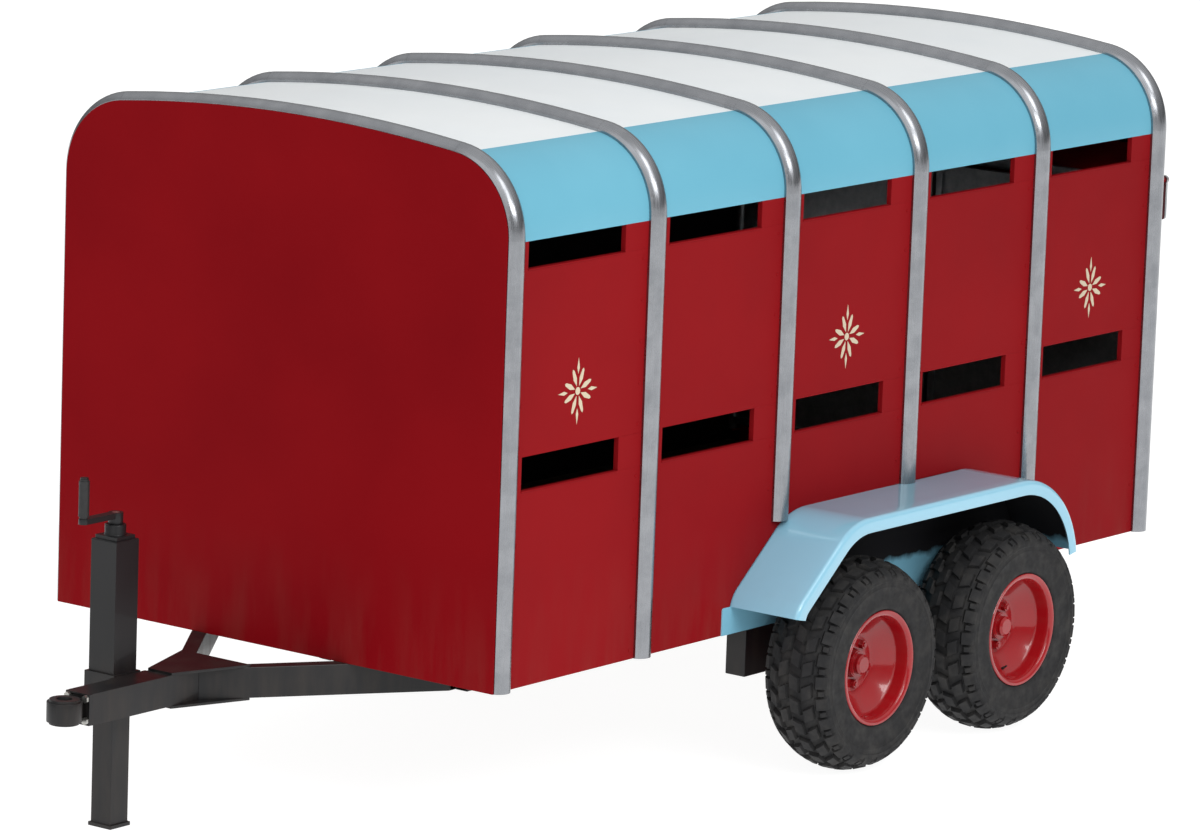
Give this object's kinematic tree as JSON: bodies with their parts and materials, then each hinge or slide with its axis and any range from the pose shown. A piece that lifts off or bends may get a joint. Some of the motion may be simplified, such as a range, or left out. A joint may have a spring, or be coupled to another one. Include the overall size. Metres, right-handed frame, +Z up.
{
  "type": "livestock trailer",
  "caption": "Closed livestock trailer with a round-cornered hooped body, vent slots, tandem wheels on rocking beams, A-frame drawbar with tow eye and screw jack, rear ramp and inner gates.",
  "frame": {"origin": "On the ground, under the middle of the overall length and width.", "axes": "X runs forward along the drawbar, Y to the trailer's left, Z up."},
  "size_m": [4.797, 2.42, 2.2623],
  "materials": {
    "body_red": "gloss paint on board panels",
    "shoulder_blue": "gloss gel coat on moulded glass-fibre sheet",
    "roof_white": "gloss gel coat on moulded glass-fibre sheet",
    "hoop_silver": "satin extrusion",
    "guard_blue": "high gloss paint on pressed sheet",
    "chassis_black": "satin black paint on steel section",
    "rim_red": "gloss paint on pressed steel",
    "tyre_black": "ribbed and blocked rubber",
    "zinc_steel": "zinc plated steel",
    "galvanised": "galvanised steel",
    "floor_board": "resin-faced plywood",
    "grip_black": "moulded grip"
  },
  "bodies": {
    "trailer": {"floor": "floor_board", "front_panel": "body_red", "rear_frame": "body_red", "side_lower_left": "body_red", "side_lower_right": "body_red", "side_upper_left": "body_red", "side_upper_right": "body_red", "vent_pillars": "body_red", "shoulder_left": "shoulder_blue", "shoulder_right": "shoulder_blue", "roof_sheet": "roof_white", "hoop_1": "hoop_silver", "hoop_2": "hoop_silver", "hoop_3": "hoop_silver", "hoop_4": "hoop_silver", "hoop_5": "hoop_silver", "hoop_6": "hoop_silver", "mudguard_left": "guard_blue", "mudguard_right": "guard_blue", "chassis_rails": "chassis_black", "crossmembers": "chassis_black", "drawbar_legs": "chassis_black", "drawbar_pole": "chassis_black", "tow_eye": "chassis_black", "drawbar_bolts": "zinc_steel", "bogie_beams": "chassis_black", "pivot_shaft": "zinc_steel", "jack_clamp": "chassis_black", "jack_tube": "chassis_black", "ramp_hinge_pins": "zinc_steel"},
    "rocking_beam_left": {"rocker_left": "chassis_black", "wheel_bearings_left": "zinc_steel"},
    "rocking_beam_right": {"rocker_right": "chassis_black", "wheel_bearings_right": "zinc_steel"},
    "jack_inner": {"jack_leg": "chassis_black"},
    "crank": {"jack_crank": "chassis_black", "jack_screw": "zinc_steel"},
    "grip": {"crank_grip": "grip_black"},
    "tail_ramp": {"ramp": "body_red", "ramp_cleats": "galvanised"},
    "latch_left": {"ramp_latch_left": "galvanised"},
    "latch_right": {"ramp_latch_right": "galvanised"},
    "inner_gate_left": {"gate_left": "galvanised"},
    "inner_gate_right": {"gate_right": "galvanised"},
    "wheel_front_left": {"hub_front_left": "chassis_black", "rim_front_left": "rim_red", "tyre_front_left": "tyre_black", "wheel_nuts_front_left": "zinc_steel"},
    "wheel_rear_left": {"hub_rear_left": "chassis_black", "rim_rear_left": "rim_red", "tyre_rear_left": "tyre_black", "wheel_nuts_rear_left": "zinc_steel"},
    "wheel_front_right": {"hub_front_right": "chassis_black", "rim_front_right": "rim_red", "tyre_front_right": "tyre_black", "wheel_nuts_front_right": "zinc_steel"},
    "wheel_rear_right": {"hub_rear_right": "chassis_black", "rim_rear_right": "rim_red", "tyre_rear_right": "tyre_black", "wheel_nuts_rear_right": "zinc_steel"}
  },
  "joints": [
    {"name": "bogie_pivot_left", "type": "hinge", "parent": "trailer", "child": "rocking_beam_left", "pos_m": [-0.7505, 0.887, 0.36], "axis": [0, 1, 0], "range_deg": [-6, 6]},
    {"name": "bogie_pivot_right", "type": "hinge", "parent": "trailer", "child": "rocking_beam_right", "pos_m": [-0.7505, -0.887, 0.36], "axis": [0, 1, 0], "range_deg": [-6, 6]},
    {"name": "wheel_front_left_spin", "type": "hinge", "parent": "rocking_beam_left", "child": "wheel_front_left", "pos_m": [-0.334, 1.085, 0.36], "axis": [0, 1, 0], "continuous": true},
    {"name": "wheel_rear_left_spin", "type": "hinge", "parent": "rocking_beam_left", "child": "wheel_rear_left", "pos_m": [-1.167, 1.085, 0.36], "axis": [0, 1, 0], "continuous": true},
    {"name": "wheel_front_right_spin", "type": "hinge", "parent": "rocking_beam_right", "child": "wheel_front_right", "pos_m": [-0.334, -1.085, 0.36], "axis": [0, 1, 0], "continuous": true},
    {"name": "wheel_rear_right_spin", "type": "hinge", "parent": "rocking_beam_right", "child": "wheel_rear_right", "pos_m": [-1.167, -1.085, 0.36], "axis": [0, 1, 0], "continuous": true},
    {"name": "jack_leg_slide", "type": "slide", "parent": "trailer", "child": "jack_inner", "axis": [0, 0, 1], "range_m": [-0.1, 0.25]},
    {"name": "jack_crank_turn", "type": "hinge", "parent": "trailer", "child": "crank", "pos_m": [1.9885, -0.12, 0.977], "axis": [0, 0, 1], "range_deg": [-3600, 9000]},
    {"name": "crank_grip_spin", "type": "hinge", "parent": "crank", "child": "grip", "pos_m": [2.1385, -0.12, 1.014], "axis": [0, 0, 1], "continuous": true},
    {"name": "ramp_hinge", "type": "hinge", "parent": "trailer", "child": "tail_ramp", "pos_m": [-2.3635, 0, 0.524], "axis": [0, -1, 0], "range_deg": [0, 111]},
    {"name": "latch_left_turn", "type": "hinge", "parent": "trailer", "child": "latch_left", "pos_m": [-2.3875, 0.897, 1.75], "axis": [-1, 0, 0], "range_deg": [0, 90]},
    {"name": "latch_right_turn", "type": "hinge", "parent": "trailer", "child": "latch_right", "pos_m": [-2.3875, -0.897, 1.75], "axis": [1, 0, 0], "range_deg": [0, 90]},
    {"name": "gate_left_hinge", "type": "hinge", "parent": "trailer", "child": "inner_gate_left", "pos_m": [-2.2695, 0.868, 1.173], "axis": [0, 0, 1], "range_deg": [0, 88]},
    {"name": "gate_right_hinge", "type": "hinge", "parent": "trailer", "child": "inner_gate_right", "pos_m": [-2.2695, -0.868, 1.173], "axis": [0, 0, -1], "range_deg": [0, 88]}
  ],
  "couplings": [
    {"joint": "jack_crank_turn", "follows": "jack_leg_slide", "rad_per_m": 628.32}
  ]
}
